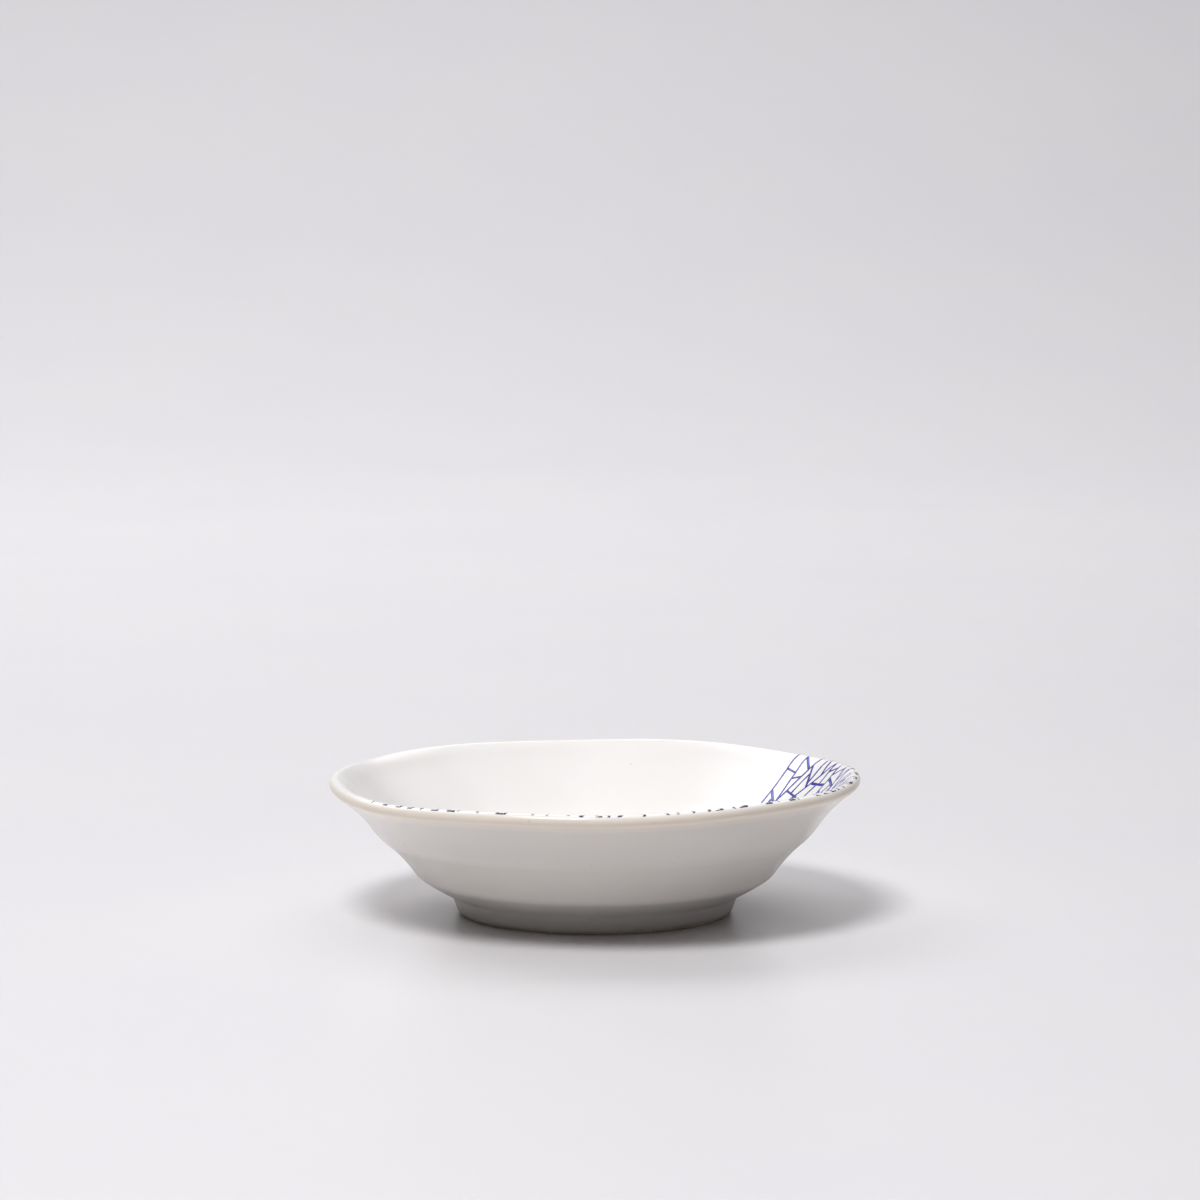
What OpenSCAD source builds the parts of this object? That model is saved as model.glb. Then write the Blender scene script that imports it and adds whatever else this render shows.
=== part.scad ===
// Small footed sauce dish. A thrown clay bowl with a gently waved lip stands on a
// foot ring that is luted on with slip, and coats of glaze cover all but the foot's face.
// The origin is on the table at the middle of the foot, with +Z up.

/* [Dish] */
// Diameter across the glazed lip
rim_d = 100; // [92:1:112]
// Height of the glazed lip above the table
dish_h = 26; // [24:0.5:32]

/* [Wall] */
// Thickness of the clay at the lip
lip_t = 1.7; // [1.3:0.1:2.3]
// Clay between the belly and the straight line of the inner wall
belly_t = 2.4; // [1.8:0.1:3.2]
// Thickness of the clay floor
floor_t = 2.8; // [2.2:0.1:3.6]
// Diameter of the clay where the round belly runs into the wall
belly_d = 67.2; // [63:0.2:72]
// Height of that place above the table
belly_z = 7.8; // [7.2:0.1:9]
// Place of the soft ridge on the wall, as a share of the way from belly to lip
ridge_share = 0.47; // [0.3:0.01:0.7]
// Depth of the shallow hollow between belly and ridge
lower_hollow = 0.45; // [0:0.05:0.7]
// Depth of the shallow hollow between ridge and lip
upper_hollow = 0.65; // [0:0.05:0.9]
// Rise of the belly where it leaves the foot, in degrees
belly_rise = 29; // [22:1:34]
// Slant of the wall at the lip, in degrees from level
lip_slant = 48; // [40:1:54]

/* [Lip wave] */
// Height of the lip's longest wave
lip_wave = 0.35; // [0:0.05:0.7]
// Height on the wall at which the waves begin
wave_z = 8; // [6:0.5:14]

/* [Foot] */
// Diameter of the foot ring at the table
foot_d = 50.8; // [46:0.2:54]
// Height of the foot ring
foot_h = 3.6; // [2.8:0.1:4.4]
// Width of the ring's underside
foot_w = 2.6; // [2:0.1:4]
// Lean of the ring's outside, in degrees from upright
foot_lean = 22; // [10:1:28]
// Lean of the ring's inside, in degrees from upright
recess_lean = 12; // [4:1:24]
// Radius of the ring's two edges at the table
foot_round = 0.5; // [0.2:0.1:0.8]

/* [Slip] */
// Thickness of the slip between ring and bowl
slip_t = 0.3; // [0.2:0.05:0.6]
// Radius of the slip's cove round the outside of the ring
cove_r = 1.3; // [0.7:0.1:1.6]
// Radius of the slip's cove inside the ring
recess_cove_r = 1; // [0.7:0.1:1.6]

/* [Glaze] */
// Thickness of the glaze
glaze_t = 0.3; // [0.15:0.05:0.5]
// Height of bare clay left above the table
bare_h = 0.6; // [0.5:0.1:1.4]

/* [Hidden] */
$fn = 96;

// The waves that make up the lip's line: waves in a turn, share of lip_wave, angle of the crest
lip_wave_shares = [[1, 1.0, 0], [2, 0.7, -80], [4, 0.3, -65], [6, 0.5, 40]];
// How far the belly's curve keeps its first slope, as a share of the room it has
belly_share = 0.93;
// How far down the inner wall stays straight, and how far out the floor's flat middle pulls
straight_share = 0.7;
floor_pull_share = 0.62;

// Steps round the dish, and along each stretch of its outline
turn_n = 60;
belly_n = 5;
lower_n = 5;
upper_n = 6;
lip_n = 8;
inner_n = 4;
floor_n = 8;
edge_n = 6;

clay_color = "#efe9df";
glaze_color = "#f6f3ef";

foot_r = foot_d / 2;
recess_r = foot_r - foot_w;
seam_z = foot_h + slip_t;
floor_z = seam_z + floor_t;
lip_r = lip_t / 2;
lip_centre = [rim_d / 2 - glaze_t - lip_r, dish_h - glaze_t - lip_r];

// Small helpers in the plane of the outline, where a point is [radius, height]
function unit(v) = v / norm(v);
function right_of(v) = [v[1], -v[0]];
function polar(r, a) = r * [cos(a), sin(a)];
function last(list) = list[len(list) - 1];
function reversed(list) = [for (i = [len(list) - 1:-1:0]) list[i]];
function slice(list, from, to) = [for (i = [from:to]) list[i]];
function arc(centre, r, from, to, n) = [for (i = [0:n]) centre + polar(r, from + (to - from) * i / n)];
function bowed(a, b, depth, n) =
    [for (i = [1:n]) a + (b - a) * i / n - right_of(unit(b - a)) * depth * sin(180 * i / n)];
function curve3(a, b, c, n) =
    [for (i = [1:n]) let (t = i / n, s = 1 - t) s * s * a + 2 * s * t * b + t * t * c];
function curve4(a, b, c, d, n) =
    [for (i = [1:n]) let (t = i / n, s = 1 - t) s^3 * a + 3 * s^2 * t * b + 3 * s * t^2 * c + t^3 * d];

// One side of the foot ring: side is 1 for the outside and -1 for the recess
function side_base(side) = side > 0 ? foot_r : recess_r;
function side_lean(side) = side > 0 ? foot_lean : recess_lean;
function side_out(side) = [side * cos(side_lean(side)), -sin(side_lean(side))];
function side_at(side, z) = [side_base(side) + side * z * tan(side_lean(side)), z];

// The ring's rounded edge at the table
function edge_centre(side) = let (lean = side_lean(side))
    [side_base(side) - side * foot_round * (1 - sin(lean)) / cos(lean), foot_round];

// The cove of slip in the corner between ring and bowl, which meets the bowl at the bowl's own rise
function side_cove_r(side) = side > 0 ? cove_r : recess_cove_r;
function side_rise(side) = side > 0 ? belly_rise : 0;
function cove_centre(side) =
    let (r = side_cove_r(side), lean = side_lean(side), z = seam_z - r * cos(side_rise(side)))
    [side_base(side) + side * (r + z * sin(lean)) / cos(lean), z];
function cove(side, r) =
    let (from = 90 + side_rise(side), to = 180 - side_lean(side))
    [for (p = arc([0, 0], r, from, to, edge_n)) cove_centre(side) + [side * p[0], p[1]]];

// Outline of the clay bowl, from the foot's seam up over the lip and down to the middle of the floor
seam_edge = cove(1, cove_r)[0];
belly = [belly_d / 2, belly_z];
wall_top = lip_centre + polar(lip_r, -lip_slant);
ridge = belly + (wall_top - belly) * ridge_share;
belly_room = min(belly[0] - seam_edge[0], (belly_z - seam_z) / tan(belly_rise));
belly_handle = seam_edge + belly_room * belly_share * [1, tan(belly_rise)];
outer_wall = concat(
    [seam_edge],
    curve3(seam_edge, belly_handle, belly, belly_n),
    bowed(belly, ridge, lower_hollow, lower_n),
    slice(bowed(ridge, wall_top, upper_hollow, upper_n), 0, upper_n - 2)
);
lip = arc(lip_centre, lip_r, -lip_slant, 180 - lip_slant, lip_n);
inner_belly = belly - right_of(unit(wall_top - belly)) * belly_t;
floor_middle = [0, floor_z];
straight_end = last(lip) + (inner_belly - last(lip)) * straight_share;
inner_wall = concat(
    bowed(last(lip), straight_end, 0, inner_n),
    curve4(straight_end, inner_belly, [inner_belly[0] * floor_pull_share, floor_z], floor_middle, floor_n)
);
bowl_line = concat(outer_wall, lip, inner_wall);

// The glaze's free surface lies square off the clay
line_last = len(bowl_line) - 1;
crown = len(outer_wall) + lip_n / 2;
function line_normal(i) =
    i == 0 ? right_of(polar(1, belly_rise))
    : i == line_last ? [0, 1]
    : right_of(unit(bowl_line[i + 1] - bowl_line[i - 1]));
glaze_line = [for (i = [0:line_last]) bowl_line[i] + glaze_t * line_normal(i)];

// The waves grow from nothing at wave_z to their full height at the lip
function total(list) = list * [for (x = list) 1];
function wave_at(a) = lip_wave * total([for (w = lip_wave_shares) w[1] * cos(w[0] * a - w[2])]);
function wave_growth(z) = let (t = max(0, min(1, (z - wave_z) / (dish_h - wave_z)))) t * t * (3 - 2 * t);
function waved_ring(p) =
    [for (i = [0:turn_n - 1]) let (a = 360 * i / turn_n)
        [p[0] * cos(a), p[0] * sin(a), p[1] + wave_at(a) * wave_growth(p[1])]];
function band_faces(first, second) =
    [for (i = [0:turn_n - 1]) let (k = (i + 1) % turn_n)
        each [[first + i, second + i, second + k], [first + i, second + k, first + k]]];
function ring_faces(count) = [for (j = [0:count - 2]) each band_faces(j * turn_n, (j + 1) * turn_n)];

// A solid turned from an outline that runs anticlockwise from the axis back to the axis
module waved_turning(outline) {
    rings = slice(outline, 1, len(outline) - 2);
    ring_points = [for (p = rings) each waved_ring(p)];
    foot_pole = len(ring_points);
    top_pole = foot_pole + 1;
    top_first = (len(rings) - 1) * turn_n;
    polyhedron(
        concat(ring_points, [[0, 0, outline[0][1]], [0, 0, last(outline)[1]]]),
        concat(
            ring_faces(len(rings)),
            [for (i = [0:turn_n - 1]) [foot_pole, i, (i + 1) % turn_n]],
            [for (i = [0:turn_n - 1]) [top_pole, top_first + (i + 1) % turn_n, top_first + i]]
        )
    );
}

// A solid turned from a closed outline that stands clear of the axis
module waved_band(outline) {
    polyhedron(
        [for (p = outline) each waved_ring(p)],
        concat(ring_faces(len(outline)), band_faces((len(outline) - 1) * turn_n, 0))
    );
}

// The thrown bowl, flat underneath where the foot ring is luted on
module bowl_body() {
    color(clay_color) waved_turning(concat([[0, seam_z]], bowl_line));
}

// The ring that the dish stands on, narrower at the table
module foot_ring() {
    color(clay_color) rotate_extrude() polygon(concat(
        arc(edge_centre(1), foot_round, -90, -foot_lean, edge_n),
        [side_at(1, foot_h), side_at(-1, foot_h)],
        arc(edge_centre(-1), foot_round, 180 + recess_lean, 270, edge_n)
    ));
}

// The slip that joins the ring to the bowl and fills both corners with a cove
module slip_joint() {
    color(clay_color) rotate_extrude() polygon(concat(
        cove(1, cove_r),
        [side_at(1, foot_h), side_at(-1, foot_h)],
        reversed(cove(-1, recess_cove_r))
    ));
}

// The glaze inside, from the crown of the lip to the middle of the floor
module inside_glaze() {
    color(glaze_color) waved_turning(concat(
        reversed(slice(bowl_line, crown, line_last)),
        slice(glaze_line, crown, line_last)
    ));
}

// The glaze outside, from the crown of the lip to the seam of the foot
module outside_glaze() {
    color(glaze_color) waved_band(concat(
        slice(glaze_line, 0, crown),
        reversed(slice(bowl_line, 0, crown))
    ));
}

// A coat on one side of the foot: its corner at the bowl, then its face down to the bare clay
function foot_coat(side, depth) = concat(
    cove(side, side_cove_r(side) - depth),
    [side_at(side, bare_h) + side_out(side) * depth]
);

// The glaze down the outside of the foot
module foot_glaze() {
    color(glaze_color) rotate_extrude() polygon(concat(foot_coat(1, glaze_t), reversed(foot_coat(1, 0))));
}

// The glaze over the recess inside the foot
module base_glaze() {
    color(glaze_color) rotate_extrude() polygon(concat(
        [[0, seam_z - glaze_t]],
        foot_coat(-1, glaze_t),
        reversed(foot_coat(-1, 0)),
        [[0, seam_z]]
    ));
}

bowl_body();
foot_ring();
slip_joint();
inside_glaze();
outside_glaze();
foot_glaze();
base_glaze();
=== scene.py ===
"""Looks of a small footed sauce dish: white glaze, a bare clay foot and a painted cracked-ice net.

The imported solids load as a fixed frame, in metres with +Z up. The dish's outline is worked out here again
from the same sizes, in finer steps, so each coat of glaze and each brush stroke lies where the solids are.
"""

import logging
import math
import random
from collections.abc import Callable
from dataclasses import dataclass, field
from enum import Enum

import bmesh
import bpy
from mathutils import Color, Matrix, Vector, noise
from mathutils.geometry import interpolate_bezier


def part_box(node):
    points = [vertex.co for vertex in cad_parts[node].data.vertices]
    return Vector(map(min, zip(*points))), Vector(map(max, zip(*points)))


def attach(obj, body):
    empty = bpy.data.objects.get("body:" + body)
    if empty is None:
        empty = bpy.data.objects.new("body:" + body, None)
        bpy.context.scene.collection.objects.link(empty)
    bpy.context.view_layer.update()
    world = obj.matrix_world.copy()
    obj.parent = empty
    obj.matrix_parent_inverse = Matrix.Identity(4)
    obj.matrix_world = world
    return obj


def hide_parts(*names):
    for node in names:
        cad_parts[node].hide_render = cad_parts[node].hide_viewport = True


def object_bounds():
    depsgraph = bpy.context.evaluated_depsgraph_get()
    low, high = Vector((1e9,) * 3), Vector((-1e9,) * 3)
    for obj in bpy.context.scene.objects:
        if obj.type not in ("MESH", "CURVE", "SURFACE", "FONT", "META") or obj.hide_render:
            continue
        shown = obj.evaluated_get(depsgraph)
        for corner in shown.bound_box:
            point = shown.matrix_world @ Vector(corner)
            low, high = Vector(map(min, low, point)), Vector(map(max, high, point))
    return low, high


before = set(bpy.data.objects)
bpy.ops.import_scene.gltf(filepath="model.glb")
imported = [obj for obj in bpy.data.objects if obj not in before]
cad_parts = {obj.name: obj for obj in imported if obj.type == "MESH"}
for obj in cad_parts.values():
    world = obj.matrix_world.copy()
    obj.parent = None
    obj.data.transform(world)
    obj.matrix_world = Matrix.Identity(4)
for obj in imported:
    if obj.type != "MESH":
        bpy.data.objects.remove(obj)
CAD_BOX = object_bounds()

LOG = logging.getLogger("sauce_dish")
BODY = "root"
BAKE_MAP = "OFBake"
MM = 0.001
# Most values of a cloudy texture lie in this span.
CLOUD_SPAN = (0.3, 0.7)

Colour = tuple[float, float, float, float]
Outline = list[Vector]
Span = tuple[float, float]
Spots = tuple[tuple[float, float], ...]
Sockets = dict[str, bpy.types.NodeSocket]


class Slot(Enum):
    """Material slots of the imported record."""

    CLAY = "fired_clay"
    GLAZE = "white_glaze"
    PAINT = "cobalt_paint"


class StrokeKind(Enum):
    """The kinds of brush stroke in the painted net."""

    CRACK = "crack"
    BAR = "bar"
    BORDER = "border"
    RIM = "rim"


# Lines and numbers


def colour(code: str) -> Colour:
    """Turns a written sRGB colour, such as #fbf8f6, into the linear colour that shaders take."""
    written = Color(int(code[i : i + 2], 16) / 255 for i in (1, 3, 5))
    return (*written.from_srgb_to_scene_linear(), 1.0)


def smoothstep(low: float, high: float, value: float) -> float:
    """Eases from 0, where a value is at low or under it, to 1, where it is at high or over it."""
    t = min(1.0, max(0.0, (value - low) / (high - low)))
    return t * t * (3 - 2 * t)


def polar(radius: float, degrees: float) -> Vector:
    """Gives the point at a radius and an angle in degrees."""
    angle = math.radians(degrees)
    return Vector((radius * math.cos(angle), radius * math.sin(angle)))


def right_of(step: Vector) -> Vector:
    """Gives the unit vector to the right of a step along an outline."""
    return Vector((step.y, -step.x)).normalized()


def arc(radius: float, start: float, end: float, steps: int) -> Outline:
    """Follows an arc about the origin, from a first angle to a last one in degrees, both among the points."""
    return [polar(radius, start + (end - start) * i / steps) for i in range(steps + 1)]


def bowed(start: Vector, end: Vector, depth: float, steps: int) -> Outline:
    """Follows a line that bows to its left.

    Args:
        start: Point that the line leaves.
        end: Point that the line reaches.
        depth: Depth of the bow at its middle.
        steps: Steps from start to end.

    Returns:
        The points after start.
    """
    aside = right_of(end - start) * depth
    shares = [i / steps for i in range(1, steps + 1)]
    return [start.lerp(end, t) - aside * math.sin(math.pi * t) for t in shares]


def bezier(handles: Outline, steps: int) -> Outline:
    """Follows a Bezier curve of any order.

    Args:
        handles: Ends and handles of the curve, in order.
        steps: Steps from end to end.

    Returns:
        The points after the first handle.
    """
    points = []
    for i in range(1, steps + 1):
        level = list(handles)
        while len(level) > 1:
            level = [a.lerp(b, i / steps) for a, b in zip(level, level[1:])]
        points.append(level[0])
    return points


def smooth(points: Outline, per_step: int) -> Outline:
    """Runs a smooth curve through an outline's points.

    Args:
        points: The points to pass through.
        per_step: Steps of the curve between two points.

    Returns:
        The curve's points, from the first to the last.
    """
    steps = [b - a for a, b in zip(points, points[1:])]
    turns = [a / a.length_squared + b / b.length_squared for a, b in zip(steps, steps[1:])]
    along = [t.normalized() for t in (steps[0], *turns, steps[-1])]
    line = []
    for a, b, leave, reach in zip(points, points[1:], along, along[1:]):
        third = (b - a).length / 3
        line += interpolate_bezier(a, a + leave * third, b - reach * third, b, per_step + 1)[:-1]
    return [*line, points[-1]]


def normals(line: Outline) -> Outline:
    """Looks square off an outline, to its right.

    Args:
        line: The outline's points.

    Returns:
        A unit vector for each point.
    """
    before = [line[0], *line[:-1]]
    after = [*line[1:], line[-1]]
    return [right_of(b - a) for a, b in zip(before, after)]


def distances(line: Outline) -> list[float]:
    """Measures along an outline.

    Args:
        line: The outline's points.

    Returns:
        How far along each point is.
    """
    far = [0.0]
    for a, b in zip(line, line[1:]):
        far.append(far[-1] + (b - a).length)
    return far


# The dish's shape


@dataclass(frozen=True)
class FootSide:
    """One face of the foot ring, with the cove of slip at its top and the rounded edge at the table.

    sign is 1 outside and -1 in the recess. rise is the bowl's slope where the cove meets it.
    """

    sign: int
    base_r: float
    lean: float
    rise: float
    cove_r: float
    seam_z: float

    def at(self, height: float) -> Vector:
        """Gives the point of the face at a height above the table."""
        return Vector((self.base_r + self.sign * height * math.tan(math.radians(self.lean)), height))

    def down(self) -> Vector:
        """Gives the unit vector down the face."""
        return (self.at(0.0) - self.at(1.0)).normalized()

    def cove(self, steps: int) -> Outline:
        """Follows the cove from the bowl down to the face.

        Args:
            steps: Steps from end to end.

        Returns:
            The cove's points, both ends among them.
        """
        lean = math.radians(self.lean)
        z = self.seam_z - self.cove_r * math.cos(math.radians(self.rise))
        r = self.base_r + self.sign * (self.cove_r + z * math.sin(lean)) / math.cos(lean)
        turn = arc(self.cove_r, 90 + self.rise, 180 - self.lean, steps)
        return [Vector((r + self.sign * p.x, z + p.y)) for p in turn]

    def edge(self, edge_r: float, steps: int) -> Outline:
        """Follows the rounded edge from the table up to the face.

        Args:
            edge_r: Radius of the rounding.
            steps: Steps from end to end.

        Returns:
            The edge's points, both ends among them.
        """
        lean = math.radians(self.lean)
        r = self.base_r - self.sign * edge_r * (1 - math.sin(lean)) / math.cos(lean)
        turn = arc(edge_r, -90, -self.lean, steps)
        return [Vector((r + self.sign * p.x, edge_r + p.y)) for p in turn]


@dataclass(frozen=True)
class LipWave:
    """The slow rise and fall of the lip, as waves in a turn with their shares and crests in degrees."""

    start_z: float
    full_z: float
    height: float = 0.35 * MM
    waves: tuple[tuple[int, float, float], ...] = (
        (1, 1.0, 0),
        (2, 0.7, -80),
        (4, 0.3, -65),
        (6, 0.5, 40),
    )

    def lift(self, azimuth: float, z: float) -> float:
        """Gives how far a point of the wall at an angle in radians is lifted from its height."""
        total = sum(share * math.cos(n * azimuth - math.radians(crest)) for n, share, crest in self.waves)
        return self.height * total * smoothstep(self.start_z, self.full_z, z)


@dataclass(frozen=True)
class DishSizes:
    """Sizes of the dish in metres and degrees. The solids' boxes give the first five."""

    rim_r: float
    ring_r: float
    foot_h: float
    seam_z: float
    floor_z: float
    dish_h: float = 26 * MM
    lip_t: float = 1.7 * MM
    belly_t: float = 2.4 * MM
    belly_r: float = 33.6 * MM
    belly_z: float = 7.8 * MM
    ridge_share: float = 0.47
    lower_hollow: float = 0.45 * MM
    upper_hollow: float = 0.65 * MM
    belly_rise: float = 29
    lip_slant: float = 48
    belly_share: float = 0.93
    straight_share: float = 0.7
    floor_pull_share: float = 0.62
    wave_z: float = 8 * MM
    foot_w: float = 2.6 * MM
    foot_lean: float = 22
    recess_lean: float = 12
    foot_round: float = 0.5 * MM
    cove_r: float = 1.3 * MM
    recess_cove_r: float = 1 * MM
    glaze_t: float = 0.3 * MM
    bare_h: float = 0.6 * MM

    @classmethod
    def from_frame(cls) -> "DishSizes":
        """Reads the sizes that the solids' boxes give.

        Returns:
            All the sizes.
        """
        return cls(
            rim_r=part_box("outside_glaze")[1].x,
            ring_r=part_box("foot_ring")[1].x,
            foot_h=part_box("foot_ring")[1].z,
            seam_z=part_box("bowl_body")[0].z,
            floor_z=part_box("inside_glaze")[0].z,
        )

    @property
    def foot_r(self) -> float:
        """Gives the foot's radius at the table."""
        return self.ring_r - self.foot_h * math.tan(math.radians(self.foot_lean))


@dataclass
class DishOutline:
    """The lines that the dish is turned from: clay, and glaze square off the clay."""

    sizes: DishSizes
    per_step: int = 4
    cove_steps: int = 6
    belly_steps: int = 5
    lower_steps: int = 8
    upper_steps: int = 9
    lip_steps: int = 8
    inner_steps: int = 4
    floor_steps: int = 8
    bead: float = 0.6 * MM
    bead_shares: tuple[float, ...] = (0.15, 0.4, 1.0)

    def __post_init__(self) -> None:
        """Sets up the foot's two faces and the lip's wave."""
        s = self.sizes
        self.outside = FootSide(1, s.foot_r, s.foot_lean, s.belly_rise, s.cove_r, s.seam_z)
        self.recess = FootSide(-1, s.foot_r - s.foot_w, s.recess_lean, 0, s.recess_cove_r, s.seam_z)
        self.wave = LipWave(s.wave_z, s.dish_h)

    def glazed_face(self, side: FootSide) -> Outline:
        """Follows one face of the foot from the glaze's lower edge up to the cove."""
        bottom = side.at(self.sizes.bare_h)
        return [bottom] + [bottom - side.down() * self.bead * share for share in self.bead_shares]

    def bowl_clay(self) -> Outline:
        """Follows the bowl's clay up its outside and down its inside.

        Returns:
            The points from the glaze's lower edge on the foot, over the lip, to the middle of the floor.
        """
        s = self.sizes
        cove = self.outside.cove(self.cove_steps)
        seam_edge = cove[0]
        belly = Vector((s.belly_r, s.belly_z))
        lip_r = s.lip_t / 2
        lip_centre = Vector((s.rim_r, s.dish_h)) - Vector((1, 1)) * (s.glaze_t + lip_r)
        lip = [lip_centre + p for p in arc(lip_r, -s.lip_slant, 180 - s.lip_slant, self.lip_steps)]
        ridge = belly.lerp(lip[0], s.ridge_share)
        slope = math.tan(math.radians(s.belly_rise))
        room = min(belly.x - seam_edge.x, (s.belly_z - s.seam_z) / slope)
        handle = seam_edge + Vector((1, slope)) * room * s.belly_share
        inner_belly = belly - right_of(lip[0] - belly) * s.belly_t
        straight_end = lip[-1].lerp(inner_belly, s.straight_share)
        floor = [straight_end, inner_belly, Vector((inner_belly.x * s.floor_pull_share, s.floor_z))]
        floor_middle = Vector((0, s.floor_z))
        points = [
            *self.glazed_face(self.outside),
            *reversed(cove),
            *bezier([seam_edge, handle, belly], self.belly_steps),
            *bowed(belly, ridge, s.lower_hollow, self.lower_steps)[:-1],
            *bowed(ridge, lip[0], s.upper_hollow, self.upper_steps)[:-1],
            *lip,
            *bowed(lip[-1], straight_end, 0, self.inner_steps),
            *bezier([*floor, floor_middle], self.floor_steps),
        ]
        return smooth(points, self.per_step)

    def recess_clay(self) -> Outline:
        """Follows the clay of the recess inside the ring.

        Returns:
            The points from the middle of the recess out to the glaze's lower edge.
        """
        cove = self.recess.cove(self.cove_steps)
        middle = Vector((0, self.sizes.seam_z))
        ceiling = bowed(middle, cove[0], 0, self.floor_steps)
        points = [middle, *ceiling, *cove[1:], *reversed(self.glazed_face(self.recess))]
        return smooth(points, self.per_step)

    def glaze_over(self, clay: Outline, edge_first: bool) -> Outline:
        """Gives the glaze's free surface over a line of clay.

        Args:
            clay: The line of clay, with one end on the axis and one at the glaze's lower edge.
            edge_first: Whether the lower edge is the first end.

        Returns:
            The surface's points, which meet the clay in a rounded bead at the lower edge.
        """
        far = distances(clay)
        surface = []
        for point, normal, reach in zip(clay, normals(clay), far):
            from_edge = reach if edge_first else far[-1] - reach
            thin = 1 - min(1.0, from_edge / self.bead)
            surface.append(point + normal * self.sizes.glaze_t * math.sqrt(1 - thin * thin))
        axis_end = -1 if edge_first else 0
        surface[axis_end].x = 0
        return surface

    def place(self, point: Vector, azimuth: float) -> Vector:
        """Sets a point of the outline in the round, with the lip's wave, inside the solids' box."""
        z = min(CAD_BOX[1].z, point.y + self.wave.lift(azimuth, point.y))
        return Vector((point.x * math.cos(azimuth), point.x * math.sin(azimuth), z))


@dataclass
class Turning:
    """Turns an outline about the upright axis into a closed mesh with a map for its textures."""

    name: str
    place: Callable[[Vector, float], Vector]
    turn_n: int = 240

    def __post_init__(self) -> None:
        """Starts with no faces."""
        self.faces: list[tuple[int, ...]] = []
        self.spots: list[Spots] = []

    def band(self, first: int, second: int, low: float, high: float) -> None:
        """Joins two rings of points with a band of faces.

        Args:
            first: Number of the first ring's first point.
            second: Number of the second ring's first point.
            low: Height of the first ring on the texture map.
            high: Height of the second ring on the texture map.
        """
        n = self.turn_n
        for i in range(n):
            k = (i + 1) % n
            self.faces.append((first + i, first + k, second + k, second + i))
            left, right = i / n, (i + 1) / n
            self.spots.append(((left, low), (right, low), (right, high), (left, high)))

    def cap(self, ring: int, pole: int, low: float, high: float) -> None:
        """Closes a ring of points with a fan of faces about a pole on the axis.

        Args:
            ring: Number of the ring's first point.
            pole: Number of the pole's point.
            low: Height of the ring on the texture map.
            high: Height of the pole on the texture map.
        """
        n = self.turn_n
        for i in range(n):
            self.faces.append((ring + i, ring + (i + 1) % n, pole))
            self.spots.append(((i / n, low), ((i + 1) / n, low), ((i + 0.5) / n, high)))

    def build(self, outline: Outline, marks: dict[str, list[float]], capped: bool) -> bpy.types.Object:
        """Makes the mesh and its object.

        Args:
            outline: The outline, from axis to axis if it is capped, or else all round.
            marks: Values to keep at each of the outline's points, by name.
            capped: Whether the outline's ends lie on the axis.

        Returns:
            The new object, linked to the scene.
        """
        n = self.turn_n
        body = slice(1, -1) if capped else slice(None)
        rings = outline[body]
        far = distances(outline if capped else [*outline, outline[0]])
        heights = [d / far[-1] for d in far]
        ring_heights = heights[body]
        points = [self.place(p, math.tau * i / n) for p in rings for i in range(n)]
        for j in range(len(rings) - 1):
            self.band(j * n, (j + 1) * n, ring_heights[j], ring_heights[j + 1])
        last = (len(rings) - 1) * n
        kept = {name: [v for v in values[body] for _ in range(n)] for name, values in marks.items()}
        if capped:
            self.cap(0, len(points), ring_heights[0], 0.0)
            self.cap(last, len(points) + 1, ring_heights[-1], 1.0)
            points += [self.place(outline[0], 0.0), self.place(outline[-1], 0.0)]
            for name, values in marks.items():
                kept[name] += [values[0], values[-1]]
        else:
            self.band(last, 0, ring_heights[-1], 1.0)
        return closed_object(self.name, points, self.faces, self.spots, kept)


def closed_object(
    name: str,
    points: list[Vector],
    faces: list[tuple[int, ...]],
    spots: list[Spots],
    marks: dict[str, list[float]],
) -> bpy.types.Object:
    """Makes a smooth closed mesh with outward faces, a texture map and values at its points.

    Args:
        name: Name of the piece.
        points: Places of its points.
        faces: Numbers of the points round each face.
        spots: Places of each face's corners on the texture map.
        marks: Values at the points, by name.

    Returns:
        The new object, linked to the scene.
    """
    mesh = bpy.data.meshes.new(name)
    mesh.from_pydata(points, [], faces)
    uv = mesh.uv_layers.new(name=BAKE_MAP)
    uv.data.foreach_set("uv", [value for corners in spots for spot in corners for value in spot])
    for mark, values in marks.items():
        mesh.attributes.new(mark, "FLOAT", "POINT").data.foreach_set("value", values)
    work = bmesh.new()
    work.from_mesh(mesh)
    bmesh.ops.recalc_face_normals(work, faces=work.faces)
    work.to_mesh(mesh)
    work.free()
    mesh.shade_smooth()
    piece = bpy.data.objects.new(name, mesh)
    bpy.context.collection.objects.link(piece)
    return piece


def wear_in(piece: bpy.types.Object, depth: float, size: float) -> None:
    """Sinks a piece's surface here and there, as a hand-turned one is uneven.

    Args:
        piece: The piece to change.
        depth: Depth of the deepest places.
        size: Size of the uneven patches.
    """
    points = piece.data.vertices
    sunk = [v.co - v.normal * depth * (0.5 + 0.5 * noise.noise(v.co / size)) for v in points]
    for vertex, place in zip(points, sunk):
        vertex.co = place


# Shader nodes


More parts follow.
